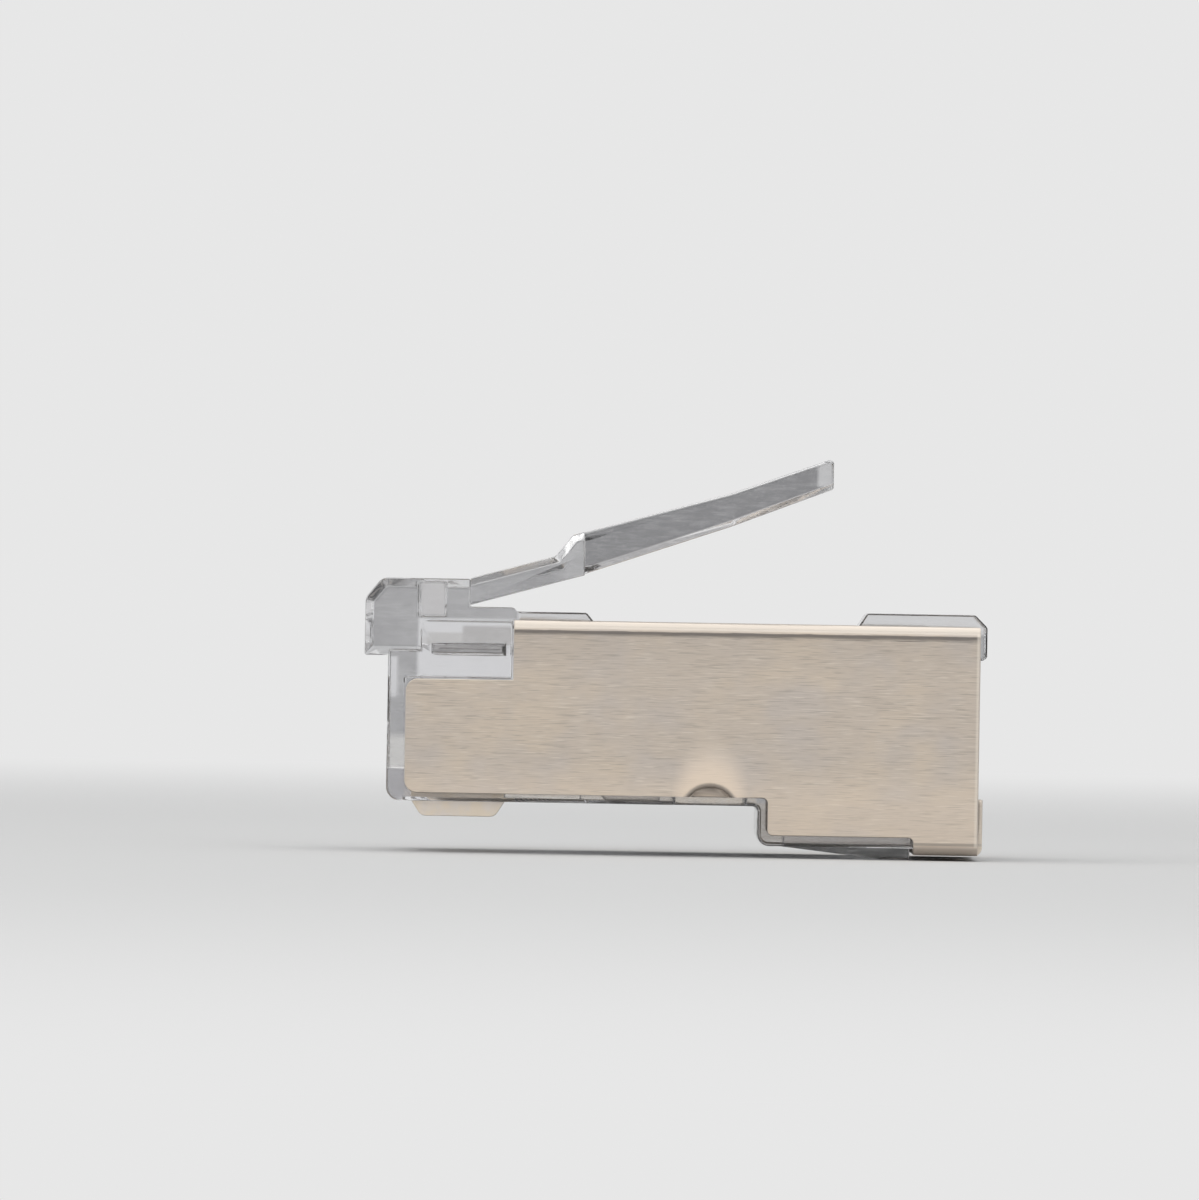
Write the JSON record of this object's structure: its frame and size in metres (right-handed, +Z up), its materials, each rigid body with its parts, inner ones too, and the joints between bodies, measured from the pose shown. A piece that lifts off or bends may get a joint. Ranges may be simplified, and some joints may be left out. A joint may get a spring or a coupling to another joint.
{
  "type": "rj45 modular plug",
  "caption": "Shielded modular plug for twisted-pair cable: clear housing in a folded metal sleeve, proud gold contacts and a long sprung latch lever.",
  "frame": {"origin": "centre of the housing's flat mating face, midway between the shield's top and the housing's floor", "axes": "+X from the mating face to the cable end, +Y across the plug, +Z up towards the latch"},
  "size_m": [0.0226, 0.0116, 0.0145],
  "materials": {
    "clear_plastic": "clear polycarbonate, moulded, glossy",
    "plated_sheet": "nickel-plated sheet with a fine lengthwise rolled grain, warm silver",
    "gold_contact": "stamped blades, thin gold over nickel"
  },
  "bodies": {
    "plug_body": {"housing": "clear_plastic", "shield": "plated_sheet", "contact_1": "gold_contact", "contact_2": "gold_contact", "contact_3": "gold_contact", "contact_4": "gold_contact", "contact_5": "gold_contact", "contact_6": "gold_contact", "contact_7": "gold_contact", "contact_8": "gold_contact"},
    "latch": {"latch_lever": "clear_plastic"}
  },
  "joints": [
    {"name": "latch_hinge", "type": "hinge", "parent": "plug_body", "child": "latch", "pos_m": [0.00295, 0, 0.00381], "axis": [0, 1, 0], "range_deg": [0, 14], "stiffness_Nm_per_rad": 0.05}
  ]
}
